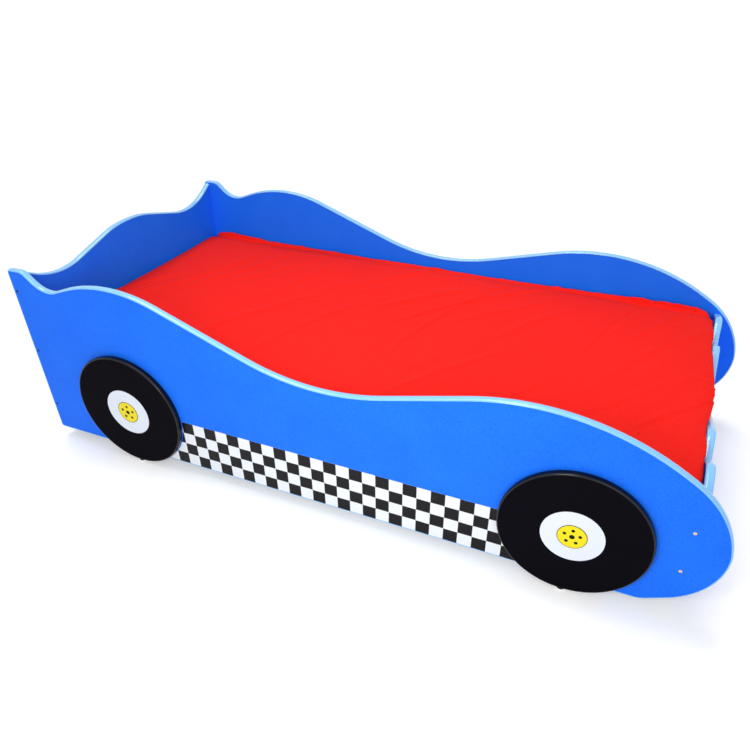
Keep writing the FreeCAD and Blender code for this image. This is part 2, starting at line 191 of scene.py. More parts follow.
def join(tree, *pairs):
    """Links each output to the input beside it."""
    for output, node_input in pairs:
        tree.links.new(output, node_input)


def calculate(tree, operation, *values):
    """A Math node. Each value is a number or another node's output."""
    node = tree.nodes.new("ShaderNodeMath")
    node.operation = operation
    for node_input, value in zip(node.inputs, values):
        if isinstance(value, float):
            node_input.default_value = value
        else:
            join(tree, (value, node_input))
    return node.outputs[0]


def colour_by(tree, shader, factor, first, second, start=0.0, end=1.0):
    """The colour goes from first to second as the factor goes from start to end."""
    ramp = tree.nodes.new("ShaderNodeValToRGB")
    stops = ramp.color_ramp.elements
    for stop, colour, place in zip(stops, (first, second), (start, end)):
        stop.color = colour
        stop.position = place
    join(tree, (factor, ramp.inputs["Fac"]),
         (ramp.outputs["Color"], shader.inputs["Base Color"]))


def spread_values(tree, factor, low, high):
    """Maps a factor from 0..1 to low..high."""
    spread = add_node(tree, "ShaderNodeMapRange", To_Min=low, To_Max=high)
    join(tree, (factor, spread.inputs["Value"]))
    return spread.outputs["Result"]


def vary_roughness(tree, shader, factor, rough, share):
    varied = spread_values(tree, factor, rough * (1 - share), rough * (1 + share))
    join(tree, (varied, shader.inputs["Roughness"]))


def add_bump(tree, shader, height, strength, depth):
    bump = add_node(tree, "ShaderNodeBump", Strength=strength, Distance=depth)
    join(tree, (height, bump.inputs["Height"]),
         (bump.outputs["Normal"], shader.inputs["Normal"]))


print("screen grey 128 is linear", round(screen_colour(128, 128, 128)[0], 3))


# %% Group and material helpers
NO_SHIFT = (0.0, 0.0, 0.0)
materials = {}


def new_group(name, inputs, outputs):
    """A node group. An input whose value isn't one number is a vector."""
    group = bpy.data.node_groups.new(name, "ShaderNodeTree")
    for label, value in inputs.items():
        kind = "NodeSocketFloat" if isinstance(value, float) else "NodeSocketVector"
        made = group.interface.new_socket(name=label, in_out="INPUT", socket_type=kind)
        made.default_value = value
    for label in outputs:
        group.interface.new_socket(
            name=label, in_out="OUTPUT", socket_type="NodeSocketFloat")
    enter = group.nodes.new("NodeGroupInput")
    leave = group.nodes.new("NodeGroupOutput")
    return group, enter.outputs, leave.inputs


def new_material(name, **values):
    """Keeps a material by its name. Returns its node tree, and its shader."""
    materials[name] = bpy.data.materials.new(name)
    materials[name].use_nodes = True
    tree = materials[name].node_tree
    return tree, set_inputs(tree.nodes["Principled BSDF"], values)


def on_piece(tree, node):
    """Lays a node's pattern on the piece's own coordinates."""
    place = tree.nodes.new("ShaderNodeTexCoord")
    join(tree, (place.outputs["Object"], node.inputs["Vector"]))
    return node


def add_group(tree, group, **values):
    node = tree.nodes.new("ShaderNodeGroup")
    node.node_tree = group
    return on_piece(tree, set_inputs(node, values))


print("helpers are ready")

# %% [markdown]
# A board covered in coloured melamine isn't a perfect mirror: the press leaves a
# very fine orange-peel texture. Moulded PVC and black board have the same kind of
# skin at other scales, so the effect is a node group that each material sets.


# %% Skin node group
def build_skin_group():
    """Fine orange peel, soft blotches, and a speckle that mixes the two."""
    group, enter, leave = new_group(
        "pressed_skin", {"Vector": NO_SHIFT, "Peel scale": 900.0, "Blotch scale": 9.0},
        ["Height", "Blotch", "Speckle"])
    peel = noise(group, Detail=2.0)
    blotch = noise(group, Detail=3.0)
    contrast = add_node(group, "ShaderNodeMapRange", From_Min=0.38, From_Max=0.62)
    half_blotch = calculate(group, "MULTIPLY", blotch.outputs["Fac"], 0.5)
    speckle = calculate(
        group, "MULTIPLY_ADD", contrast.outputs["Result"], 0.5, half_blotch)
    join(group,
         (enter["Vector"], peel.inputs["Vector"]),
         (enter["Vector"], blotch.inputs["Vector"]),
         (enter["Peel scale"], peel.inputs["Scale"]),
         (enter["Blotch scale"], blotch.inputs["Scale"]),
         (peel.outputs["Fac"], contrast.inputs["Value"]),
         (peel.outputs["Fac"], leave["Height"]),
         (blotch.outputs["Fac"], leave["Blotch"]),
         (speckle, leave["Speckle"]))
    return group


SKIN_GROUP = build_skin_group()
print("group", SKIN_GROUP.name, "has", len(SKIN_GROUP.nodes), "nodes")

# %% Skinned materials
UNEVEN_GLOSS = 0.15
PEEL_STRENGTH = 0.25


def skinned_material(name, dark, light, rough, gloss, peels, depth):
    """A pressed or moulded surface: its skin speckles the colour from dark to light."""
    tree, shader = new_material(name, Specular_IOR_Level=gloss)
    skin = add_group(tree, SKIN_GROUP, Peel_scale=peels)
    colour_by(tree, shader, skin.outputs["Speckle"],
              screen_colour(*dark), screen_colour(*light))
    vary_roughness(tree, shader, skin.outputs["Blotch"], rough, UNEVEN_GLOSS)
    add_bump(tree, shader, skin.outputs["Height"], PEEL_STRENGTH, depth)


# Darkest and lightest colour, roughness, gloss, peels per metre, and their depth
SKINS = {
    "blue_melamine": ((18, 100, 246), (36, 126, 255), 0.45, 0.08, 420, 0.0003),
    "light_blue_pvc": ((120, 190, 246), (130, 198, 250), 0.16, 0.8, 300, 0.00005),
    "black_melamine": ((9, 8, 13), (15, 14, 20), 0.5, 0.01, 500, 0.0003),
    "black_pvc": ((6, 6, 11), (11, 11, 18), 0.16, 0.3, 300, 0.0002),
    "white_film": ((222, 228, 240), (228, 234, 244), 0.3, 0.2, 400, 0.0001),
    "yellow_film": ((236, 216, 8), (244, 226, 16), 0.3, 0.2, 400, 0.0001),
    "black_film": ((10, 9, 12), (16, 15, 18), 0.32, 0.1, 400, 0.0001),
}
for name, values in SKINS.items():
    skinned_material(name, *values)
print("made", len(materials), "materials")

# %% [markdown]
# The checkered film is one print: black and white squares in four rows. The
# Checker Texture draws cubes, so the Mapping node first moves a corner of the
# film's grid to the origin, scales one square to one unit, and takes all depth
# out, which keeps a single layer of cubes over the film.

# %% Checkered film
SQUARE = 0.0392
FIRST_COLUMN_X = -0.477
MID_CUBE = 0.5
FILM_PEELS = 350.0


def checker_material():
    tree, shader = new_material(
        "checkered_film", Roughness=0.35, Specular_IOR_Level=0.15)
    strip_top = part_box("checker_strip_right")[1].z
    mapping = on_piece(tree, add_node(
        tree, "ShaderNodeMapping", Scale=(1 / SQUARE, 0.0, 1 / SQUARE),
        Location=(-FIRST_COLUMN_X / SQUARE, MID_CUBE, -strip_top / SQUARE)))
    checker = add_node(
        tree, "ShaderNodeTexChecker", Scale=1.0,
        Color1=screen_colour(12, 8, 10), Color2=screen_colour(232, 236, 240))
    join(tree, (mapping.outputs["Vector"], checker.inputs["Vector"]),
         (checker.outputs["Color"], shader.inputs["Base Color"]))
    peel = on_piece(tree, noise(tree, Scale=FILM_PEELS))
    add_bump(tree, shader, peel.outputs["Fac"], strength=0.15, depth=0.0002)


checker_material()
print("one square is", SQUARE * 1000, "mm")

# %% [markdown]
# The slats and cleats are planed pine: long pale bands that follow the wood, a
# little darker where the late wood lies. The bands run along X in the cleats at
# the sides and along Y in the slats, so the group takes the direction as a scale.

# %% Pine
BANDS_ACROSS = 90.0
BANDS_ALONG = 3.0


def build_grain_group():
    group, enter, leave = new_group(
        "pine_grain", {"Vector": NO_SHIFT, "Stretch": (1.0, 1.0, 1.0)},
        ["Bands", "Fibres"])
    stretch = group.nodes.new("ShaderNodeVectorMath")
    stretch.operation = "MULTIPLY"
    bands = noise(group, Scale=1.0, Detail=3.0, Distortion=0.6)
    fibres = noise(group, Scale=9.0, Detail=2.0)
    join(group,
         (enter["Vector"], stretch.inputs[0]),
         (enter["Stretch"], stretch.inputs[1]),
         (stretch.outputs["Vector"], bands.inputs["Vector"]),
         (stretch.outputs["Vector"], fibres.inputs["Vector"]),
         (bands.outputs["Fac"], leave["Bands"]),
         (fibres.outputs["Fac"], leave["Fibres"]))
    return group


GRAIN_GROUP = build_grain_group()


def pine_material(name, stretch):
    tree, shader = new_material(name, Roughness=0.6)
    grain = add_group(tree, GRAIN_GROUP, Stretch=stretch)
    colour_by(tree, shader, grain.outputs["Bands"], screen_colour(222, 184, 132),
              screen_colour(196, 150, 96), start=0.38, end=0.66)
    add_bump(tree, shader, grain.outputs["Fibres"], strength=0.3, depth=0.0005)


pine_material("pine_along_x", (BANDS_ALONG, BANDS_ACROSS, BANDS_ACROSS))
pine_material("pine_along_y", (BANDS_ACROSS, BANDS_ALONG, BANDS_ACROSS))
print("pine bands are about", round(1000 / BANDS_ACROSS), "mm wide")

# %% Metal
METAL_SHADE = 0.85
UNEVEN_POLISH = 0.3


def metal_material(name, bright, rough):
    """Plated steel with fine scratches that catch the light."""
    tree, shader = new_material(name, Metallic=1.0)
    scratches = on_piece(tree, noise(tree, Scale=400.0, Detail=4.0))
    colour = screen_colour(*bright)
    shaded = [part * METAL_SHADE for part in colour[:3]] + [1.0]
    colour_by(tree, shader, scratches.outputs["Fac"], shaded, colour)
    vary_roughness(tree, shader, scratches.outputs["Fac"], rough, UNEVEN_POLISH)


metal_material("nickel_plate", (225, 226, 230), rough=0.16)
metal_material("yellow_zinc", (232, 206, 150), rough=0.28)
metal_material("black_steel", (38, 38, 42), rough=0.4)
print("now there are", len(materials), "materials")

# %% [markdown]
# Cotton is a plain weave: threads over and under each other. Two sine waves at
# right angles, one for the warp and one for the weft, give the bumps, and a fine
# noise gives the slightly uneven dye. A little sheen is the fuzz of the cloth.

# %% Cloth node group
COTTON_THREADS = 9000.0


def build_weave_group():
    group, enter, leave = new_group(
        "plain_weave", {"Vector": NO_SHIFT, "Threads per metre": 2400.0},
        ["Height", "Slubs"])
    scale = group.nodes.new("ShaderNodeVectorMath")
    scale.operation = "SCALE"
    parts = group.nodes.new("ShaderNodeSeparateXYZ")
    waves = [calculate(group, "SINE", parts.outputs[axis]) for axis in "XYZ"]
    flat = calculate(group, "MULTIPLY", waves[0], waves[1])
    total = calculate(group, "ADD", flat, waves[2])
    slubs = noise(group, Scale=380.0, Detail=2.0)
    join(group,
         (enter["Vector"], scale.inputs[0]),
         (enter["Threads per metre"], scale.inputs["Scale"]),
         (scale.outputs["Vector"], parts.inputs["Vector"]),
         (enter["Vector"], slubs.inputs["Vector"]),
         (total, leave["Height"]),
         (slubs.outputs["Fac"], leave["Slubs"]))
    return group


WEAVE_GROUP = build_weave_group()


def cloth_material(name, dark, light, threads, depth, sheen):
    tree, shader = new_material(
        name, Roughness=0.85, Specular_IOR_Level=0.1,
        Sheen_Weight=sheen, Sheen_Roughness=0.4)
    weave = add_group(tree, WEAVE_GROUP, Threads_per_metre=threads)
    colour_by(tree, shader, weave.outputs["Slubs"],
              screen_colour(*dark), screen_colour(*light), start=0.3, end=0.7)
    add_bump(tree, shader, weave.outputs["Height"], strength=0.3, depth=depth)


# Darkest and lightest colour, threads per metre, their depth, and the sheen
CLOTHS = {
    "red_cotton": ((234, 24, 18), (246, 36, 27), COTTON_THREADS, 0.00012, 0.02),
    "white_ticking": ((226, 224, 218), (238, 236, 230), 5000.0, 0.0002, 0.1),
    "polyester_tape": ((206, 200, 186), (222, 217, 204), 4000.0, 0.0003, 0.1),
}
for name, values in CLOTHS.items():
    cloth_material(name, *values)
print("threads are about", round(2000 * math.pi / COTTON_THREADS, 2), "mm apart")

# %% [markdown]
# Every node that keeps its own solid now gets its finish by the start of its name.

# %% Finishes of the frame's own pieces
FINISHES = {
    "blue_melamine": ("side_panel", "headboard", "front_panel"),
    "light_blue_pvc": ("side_moulding", "headboard_moulding", "front_moulding"),
    "black_melamine": ("wheel_disc",), "black_pvc": ("wheel_moulding",),
    "white_film": ("hub_discs",), "checkered_film": ("checker_strip",),
    "pine_along_x": ("side_cleat",),
    "pine_along_y": ("head_cleat", "foot_cleat", "slat_"),
    "black_steel": ("slat_screws", "wheel_screws", "cleat_screws", "headboard_screws"),
    "yellow_zinc": ("front_panel_screws",), "nickel_plate": ("glides",),
    "polyester_tape": ("slat_webbing",), "white_ticking": ("mattress",),
    "red_cotton": ("fitted_sheet",),
}


def finish_of(node_name):
    """The finish with the longest start that fits the node's name."""
    fitting = [(len(start), finish) for finish, starts in FINISHES.items()
               for start in starts if node_name.startswith(start)]
    return max(fitting)[1]


def paint(piece, finish):
    piece.data.materials.clear()
    piece.data.materials.append(materials[finish])


for node_name, node in nodes.items():
    paint(node, finish_of(node_name))
print("finished", len(nodes), "nodes")

# %% [markdown]
# The edges of the boards are hidden by a T-shaped moulding. On the real bed it is
# a long PVC strip, pressed into a slot and bent round the edge. Here it is a
# curve along the edge with a second curve as its section, which Blender sweeps
# along it. The outline is the board's own: straight lines through a few corners,
# each rounded off with a tangent arc.

# %% Outline of a board
ARC_STEP = math.radians(2.5)


def rounded_outline(corners, closed):
    """Points along lines through corners (u, v, radius), each corner rounded off."""
    points = []
    count = len(corners)
    for i in range(count):
        here = Vector(corners[i][:2])
        radius = corners[i][2]
        at_end = not closed and i in (0, count - 1)
        if at_end or radius == 0:
            points.append(here)
            continue
        arrive = (here - Vector(corners[i - 1][:2])).normalized()
        leave = (Vector(corners[(i + 1) % count][:2]) - here).normalized()
        turn = math.atan2(arrive.cross(leave), arrive.dot(leave))
        side = math.copysign(1.0, turn)
        centre = here - arrive * radius * math.tan(abs(turn) / 2)
        centre += Vector((-arrive.y, arrive.x)) * radius * side
        start = Vector((arrive.y, -arrive.x)) * radius * side
        steps = max(2, math.ceil(abs(turn) / ARC_STEP))
        for k in range(steps + 1):
            points.append(centre + Matrix.Rotation(turn * k / steps, 2) @ start)
    return points


print("arcs are drawn in steps of", round(math.degrees(ARC_STEP), 1), "degrees")

# %% Side panel outline
side_low, side_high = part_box("side_panel_right")
REAR_X = side_low.x
NOSE_X = side_high.x
PANEL_BOTTOM = side_low.z
FIN_HEIGHT = 0.581
FIN_RADIUS = 0.006

side_corners = [
    (REAR_X, PANEL_BOTTOM, FIN_RADIUS),
    (REAR_X, FIN_HEIGHT, FIN_RADIUS),
    (REAR_X + 0.049, FIN_HEIGHT + 0.001, 0.030),
    (REAR_X + 0.117, 0.521, 0.087),
    (REAR_X + 0.355, 0.607, 0.446),
    (REAR_X + 0.9685, 0.3855, 0.664),
    (NOSE_X - 0.362, 0.555, 0.636),
    (NOSE_X - 0.022, 0.352, 0.245),
    (NOSE_X, 0.231, 0.100),
    (NOSE_X, 0.113, 0.174),
    (NOSE_X - 0.151, PANEL_BOTTOM, 0.060),
]
side_outline = rounded_outline(side_corners, closed=True)
print("side outline has", len(side_outline), "points")

# %% Headboard and front panel outlines
inner_y = -side_high.y
MOULDING_END_GAP = 0.0012
moulding_end_y = inner_y - MOULDING_END_GAP


def mirrored(half_corners):
    """Corners of a top edge from -Y to +Y, given from the end inwards on +Y."""
    left = [(-u, v, radius) for u, v, radius in half_corners]
    right = [corner for corner in reversed(half_corners) if corner[0] > 0]
    return left + right


headboard_half = [(inner_y, 0.575, 0.0), (0.345, 0.501, 0.250), (0.060, 0.578, 0.380)]
front_half = [
    (inner_y, 0.369, 0.0), (0.380, 0.393, 0.055), (0.303, 0.345, 0.024),
    (0.224, 0.379, 0.055), (0.0, 0.301, 0.190)]
headboard_outline = rounded_outline(mirrored(headboard_half), closed=False)
front_outline = rounded_outline(mirrored(front_half), closed=False)
print("top edges have", len(headboard_outline), "and", len(front_outline), "points")

# %% Moulding section
MOULDING_WIDTH = 0.020
MOULDING_CROWN = 0.005
MOULDING_LIP = 0.0009
CROWN_STEPS = 10
CROWN_FULLNESS = 0.8


def section_points(width):
    """Half round with a thin lip at each side. A clockwise path has -u outside."""
    half = width / 2
    points = [(0.0, -half)]
    for k in range(CROWN_STEPS + 1):
        angle = math.pi * k / CROWN_STEPS
        round_part = (MOULDING_CROWN - MOULDING_LIP) * math.sin(angle) ** CROWN_FULLNESS
        points.append((-(MOULDING_LIP + round_part), -half * math.cos(angle)))
    points.append((0.0, half))
    return points


def flat_curve(name, points, closed):
    curve = bpy.data.curves.new(name, "CURVE")
    curve.dimensions = "2D"
    curve.fill_mode = "NONE"
    spline = curve.splines.new("POLY")
    spline.points.add(len(points) - 1)
    for point, (u, v) in zip(spline.points, points):
        point.co = (u, v, 0.0, 1.0)
    spline.use_cyclic_u = closed
    return add_object(name, curve)


print("the crown has", CROWN_STEPS + 3, "points across")

# %% Sweep
MERGE_DISTANCE = 0.00001
ROUND_BELOW = math.radians(40)


def swept_moulding(name, outline, closed, width, to_space):
    """A section carried along an outline and stood up in the row frame."""
    path = flat_curve(name, outline, closed)
    section = flat_curve(name + "_section", section_points(width), True)
    path.data.bevel_mode = "OBJECT"
    path.data.bevel_object = section
    path.data.use_fill_caps = not closed
    select_only(path)
    bpy.ops.object.convert(target="MESH")
    made = newest()
    bpy.data.objects.remove(section)
    made.data.transform(to_space)
    enter_edit(everything=True)
    bpy.ops.mesh.remove_doubles(threshold=MERGE_DISTANCE)
    bpy.ops.mesh.normals_make_consistent(inside=False)
    leave_edit()
    bpy.ops.object.shade_smooth_by_angle(angle=ROUND_BELOW)
    return made


def lengthwise(depth):
    """Drawing plane (u, v) to (x, z), at a depth along Y."""
    return Matrix(((1, 0, 0, 0), (0, 0, -1, depth), (0, 1, 0, 0), (0, 0, 0, 1)))


def crosswise(depth):
    """Drawing plane (u, v) to (y, z), at a depth along X."""
    return Matrix(((0, 0, 1, depth), (1, 0, 0, 0), (0, 1, 0, 0), (0, 0, 0, 1)))


def middle_of(node_name):
    low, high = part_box(node_name)
    return (low + high) / 2


def dress(piece, finish, body, slot, *replaced):
    """Finish, body and the nodes that the piece stands for. The slot argument is not
    used.
    """
    paint(piece, finish)
    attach(piece, body)
    if replaced:
        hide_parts(*replaced)


for side in ("right", "left"):
    to_space = lengthwise(middle_of("side_panel_" + side).y)
    strip = swept_moulding(
        "edge_strip_side_" + side, side_outline, True, MOULDING_WIDTH, to_space)
    dress(strip, "light_blue_pvc", "bed_frame", "blue_moulding",
          "side_moulding_" + side)
    print(strip.name, len(strip.data.vertices), "points")


# %% Top edges of the cross panels
def clipped(outline, limit):
    """The outline between -limit and +limit, cut square at its ends."""
    points = []
    for a, b in zip(outline, outline[1:]):
        if abs(a.x) <= limit:
            points.append(a)
        elif abs(b.x) < limit:
            share = (math.copysign(limit, a.x) - a.x) / (b.x - a.x)
            points.append(a.lerp(b, share))
        if abs(a.x) < limit < abs(b.x):
            share = (math.copysign(limit, b.x) - a.x) / (b.x - a.x)
            points.append(a.lerp(b, share))
    return points


for name, board, outline in (("headboard", "headboard", headboard_outline),
                             ("front", "front_panel", front_outline)):
    strip = swept_moulding(
        "edge_strip_" + name, clipped(outline, moulding_end_y), False,
        MOULDING_WIDTH, crosswise(middle_of(board).x))
    dress(strip, "light_blue_pvc", "bed_frame", "blue_moulding", name + "_moulding")
    print(strip.name, len(strip.data.vertices), "points")

# %% [markdown]
# The wheels are black board discs with the same kind of strip bent round them, so
# the section is now carried round a circle.

# %% Wheel rims
WHEEL_SEGMENTS = 144
wheel_names = ["front_right", "front_left", "rear_right", "rear_left"]


def circle_points(centre, radius, count):
    points = []
    for k in range(count):
        angle = -2 * math.pi * k / count
        points.append(centre + Vector((math.cos(angle), math.sin(angle))) * radius)
    return points


for wheel in wheel_names:
    low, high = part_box("wheel_disc_" + wheel)
    middle = (low + high) / 2
    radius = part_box("wheel_moulding_" + wheel)[1].z - middle.z - MOULDING_CROWN
    circle = circle_points(Vector((middle.x, middle.z)), radius, WHEEL_SEGMENTS)
    rim = swept_moulding(
        "wheel_rim_" + wheel, circle, True, high.y - low.y, lengthwise(middle.y))
    dress(rim, "black_pvc", "bed_frame", "black_moulding", "wheel_moulding_" + wheel)
    print(rim.name, "radius", round(radius + MOULDING_CROWN, 4))

# %% [markdown]
# Each white hub carries a small round badge: a yellow disc with a thin black
# border, five black dots like the nuts of a wheel, and a black cap between them.
# It is modelled once at the origin, lying flat, and then copied to the four hubs.

# %% Badge
BADGE_RADIUS = 0.036
BADGE_THICKNESS = 0.0006
BADGE_BORDER = 0.0016
BADGE_SOFTNESS = 0.3
LAYER_STEP = 0.3
NUT_COUNT = 5
NUT_RADIUS = 0.0044
NUT_CIRCLE = 0.0195
CAP_RADIUS = NUT_RADIUS * 1.5


def flat_disc(name, radius, segments, at, layer, finish):
    """A thin disc with a softened rim. Each layer stands a little proud of the last."""
    height = BADGE_THICKNESS / 2 + BADGE_THICKNESS * LAYER_STEP * layer
    bpy.ops.mesh.primitive_cylinder_add(
        vertices=segments, radius=radius, depth=BADGE_THICKNESS, location=(*at, height))
    disc = newest()
    disc.name = name
    enter_edit(everything=True)
    bpy.ops.mesh.bevel(
        offset=BADGE_THICKNESS * BADGE_SOFTNESS, segments=2, affect="EDGES")
    leave_edit()
    apply_place(disc)
    paint(disc, finish)
    return disc


def build_badge():
    deselect_all()
    parts = [
        flat_disc("badge", BADGE_RADIUS, 96, (0, 0), 0, "black_film"),
        flat_disc("field", BADGE_RADIUS - BADGE_BORDER, 96, (0, 0), 1, "yellow_film")]
    for k in range(NUT_COUNT):
        angle = math.pi / 2 + 2 * math.pi * k / NUT_COUNT
        at = (NUT_CIRCLE * math.cos(angle), NUT_CIRCLE * math.sin(angle))
        parts.append(flat_disc("nut", NUT_RADIUS, 32, at, 2, "black_film"))
    parts.append(flat_disc("cap", CAP_RADIUS, 40, (0, 0), 2, "black_film"))
    deselect_all()
    for part in parts:
        part.select_set(True)
    bpy.context.view_layer.objects.active = parts[0]
    bpy.ops.object.join()
    return newest()


badge_pattern = build_badge()
print("badge has", len(badge_pattern.data.polygons), "faces")

# %% Badges on the hubs
hub_low, hub_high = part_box("hub_discs")


def copy_of(pattern, name, to_space):
    made = add_object(name, pattern.data.copy())
    made.data.transform(to_space)
    return made


for wheel in wheel_names:
    middle = middle_of("wheel_disc_" + wheel)
    near = wheel.endswith("right")
    face_y = hub_low.y if near else hub_high.y
    stand_up = Matrix.Rotation(math.pi / 2 if near else -math.pi / 2, 4, "X")
    place = Matrix.Translation((middle.x, face_y, middle.z)) @ stand_up
    badge = copy_of(badge_pattern, "hub_badge_" + wheel, place)
    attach(badge, "bed_frame")
bpy.data.objects.remove(badge_pattern)
print("placed", len(wheel_names), "badges")

# %% [markdown]
# The bed stands on four domed furniture glides, one under each wheel. Each is a
# small plated dome, made from a sphere whose upper half is cut away.

# %% Glides
GLIDE_RADIUS = 0.011
glide_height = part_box("glides")[1].z


def build_glide():
    bpy.ops.mesh.primitive_uv_sphere_add(
        segments=40, ring_count=20, radius=GLIDE_RADIUS)
    dome = newest()
    enter_edit(everything=True)
    bpy.ops.mesh.bisect(
        plane_co=(0, 0, 0), plane_no=(0, 0, 1), use_fill=True, clear_outer=True)
    leave_edit()
    dome.scale = (1.0, 1.0, glide_height / GLIDE_RADIUS)
    dome.location = (0, 0, glide_height)
    apply_place(dome)
    bpy.ops.object.shade_smooth_by_angle(angle=math.radians(60))
    return dome


deselect_all()
glide_pattern = build_glide()
for wheel in wheel_names:
    middle = middle_of("wheel_disc_" + wheel)
    place = Matrix.Translation((middle.x, middle.y, 0))
    glide = copy_of(glide_pattern, "glide_" + wheel, place)
    dress(glide, "nickel_plate", "bed_frame", "nickel", "glides")
bpy.data.objects.remove(glide_pattern)
print("glides stand", round(glide_height * 1000, 1), "mm high")

# %% [markdown]
# The panels are held by countersunk screws. Only their heads show, so each head
# is modelled with its cross recess, and the shank stays a plain taper.

# %% Screw pattern
SCREW_HEAD_RADIUS = 0.004
SCREW_SHANK_RADIUS = 0.0019
SCREW_HEAD_DEPTH = 0.0024
SCREW_LENGTH = 0.045
TIP_SHARE = 0.5
HEAD_PROUD = 0.0003
RECESS_SIZE = (0.0042, 0.0009, 0.0016)


def build_screw():
    """A screw along -Z, with its head at the origin."""
    bpy.ops.mesh.primitive_cone_add(
        vertices=32, radius1=SCREW_SHANK_RADIUS, radius2=SCREW_HEAD_RADIUS,
        depth=SCREW_HEAD_DEPTH, location=(0, 0, HEAD_PROUD - SCREW_HEAD_DEPTH / 2))
    screw = newest()
    apply_place(screw)
    choose(screw, "FACE", lambda face: face.normal.z < -LEVEL)
    enter_edit()
    bpy.ops.mesh.extrude_region_move(
        TRANSFORM_OT_translate={"value": (0, 0, -(SCREW_LENGTH - SCREW_HEAD_DEPTH))})
    bpy.ops.transform.resize(value=(TIP_SHARE, TIP_SHARE, 1.0))
    leave_edit()
    for turn in (0.0, math.pi / 2):
        bpy.ops.mesh.primitive_cube_add(size=1.0)
        cutter = newest()
        cutter.scale = RECESS_SIZE
        cutter.rotation_euler = (0, 0, turn)
        cutter.location = (0, 0, HEAD_PROUD)
        apply_place(cutter)
        apply_modifier(
            screw, "BOOLEAN", object=cutter, operation="DIFFERENCE", solver="EXACT")
        bpy.data.objects.remove(cutter)
    bpy.ops.object.shade_smooth_by_angle(angle=math.radians(35))
    return screw


deselect_all()
screw_pattern = build_screw()
print("screw has", len(screw_pattern.data.polygons), "faces")

# %% Screws in the side panels
TURN_BETWEEN_SCREWS = 0.7


def place_screws(node_name, heights, finish, slot):
    x = middle_of(node_name).x
    sides = (("right", side_low.y, math.pi / 2), ("left", -side_low.y, -math.pi / 2))
    for side, outer_y, tilt in sides:
        lie_down = Matrix.Rotation(tilt, 4, "X")
        for number, height in enumerate(heights, start=1):
            spin = Matrix.Rotation(TURN_BETWEEN_SCREWS * number, 4, "Z")
            place = Matrix.Translation((x, outer_y, height)) @ lie_down @ spin
            name = "%s_%s_%d" % (node_name[:-1], side, number)
            screw = copy_of(screw_pattern, name, place)
            dress(screw, finish, "bed_frame", slot, node_name)


def screw_heights(node_name):
    """The lowest and the highest screw of a node."""
    low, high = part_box(node_name)
    return low.z + SCREW_HEAD_RADIUS, high.z - SCREW_HEAD_RADIUS


low_z, high_z = screw_heights("headboard_screws")
place_screws("headboard_screws", [low_z, (low_z + high_z) / 2, high_z],
             "black_steel", "black_screws")
place_screws("front_panel_screws", screw_heights("front_panel_screws"),
             "yellow_zinc", "zinc_screws")
bpy.data.objects.remove(screw_pattern)
print("screw heads are at", round(low_z, 3), "to", round(high_z, 3))

# %% [markdown]
# The mattress is a foam slab. A plain box is too stiff for it, so the box is
# rounded, remeshed into even squares and blown up a little by the cloth
# simulation, which gives its sides a slight belly, as foam has in a tight cover.
# It starts a little smaller than its room, because it swells.

# %% Mattress slab
foam_low, foam_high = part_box("mattress")
foam_size = foam_high - foam_low
CORNER_RADIUS = 0.056
CORNER_STEPS = 10
EDGE_RADIUS = 0.020
EDGE_STEPS = 5
SWELL_ROOM = 0.003
VOXEL = 0.0132


def bevel_chosen(offset, segments, rim_only=False):
    enter_edit()
    if rim_only:
        bpy.ops.mesh.region_to_loop()
    bpy.ops.mesh.bevel(offset=offset, segments=segments, affect="EDGES")
    leave_edit()


def build_slab():
    bpy.ops.mesh.primitive_cube_add(size=1.0, location=middle_of("mattress"))
    slab = newest()
    slab.name = "mattress_core"
    slab.scale = [extent - 2 * SWELL_ROOM for extent in foam_size]
    apply_place(slab)
    mesh = slab.data

    def is_upright(edge):
        start, end = (mesh.vertices[i].co for i in edge.vertices)
        return abs(start.z - end.z) > foam_size.z / 2

    choose(slab, "EDGE", is_upright)
    bevel_chosen(CORNER_RADIUS, CORNER_STEPS)
    for side in (1, -1):
        choose(slab, "FACE", lambda face: face.normal.z * side > LEVEL)
        bevel_chosen(EDGE_RADIUS, EDGE_STEPS, rim_only=True)
    mesh.remesh_voxel_size = VOXEL
    mesh.remesh_voxel_adaptivity = 0.0
    bpy.ops.object.voxel_remesh()
    apply_modifier(slab, "SMOOTH", factor=0.5, iterations=3)
    return slab


deselect_all()
mattress = build_slab()
print("slab has", len(mattress.data.vertices), "points")

# %% Blow it up
CLOTH_SETTINGS = {
    "quality": 6, "mass": 0.4, "tension_stiffness": 20, "compression_stiffness": 20,
    "bending_stiffness": 2, "use_pressure": True, "uniform_pressure_force": 4.0}
SIM_FRAMES = 20
MOST_SWELL = 0.006
EVENING_ROUNDS = 12


def per_point(obj, what):
    """Three numbers for each point: its place ("co") or its "normal"."""
    flat = np.empty(len(obj.data.vertices) * 3)
    obj.data.vertices.foreach_get(what, flat)
    return flat.reshape(-1, 3)


def set_points(obj, points):
    obj.data.vertices.foreach_set("co", np.asarray(points, float).ravel())
    obj.data.update()


def evened(obj, values, rounds):
    """Each point's value is drawn towards the mean of its neighbours."""
    ends = np.empty(len(obj.data.edges) * 2, dtype=int)
    obj.data.edges.foreach_get("vertices", ends)
    first, second = ends.reshape(-1, 2).T
    count = len(values)
    neighbours = np.bincount(first, minlength=count)
    neighbours += np.bincount(second, minlength=count)
    for _ in range(rounds):
        total = np.bincount(first, values[second], count)
        total += np.bincount(second, values[first], count)
        values = 0.5 * values + 0.5 * total / neighbours
    return values


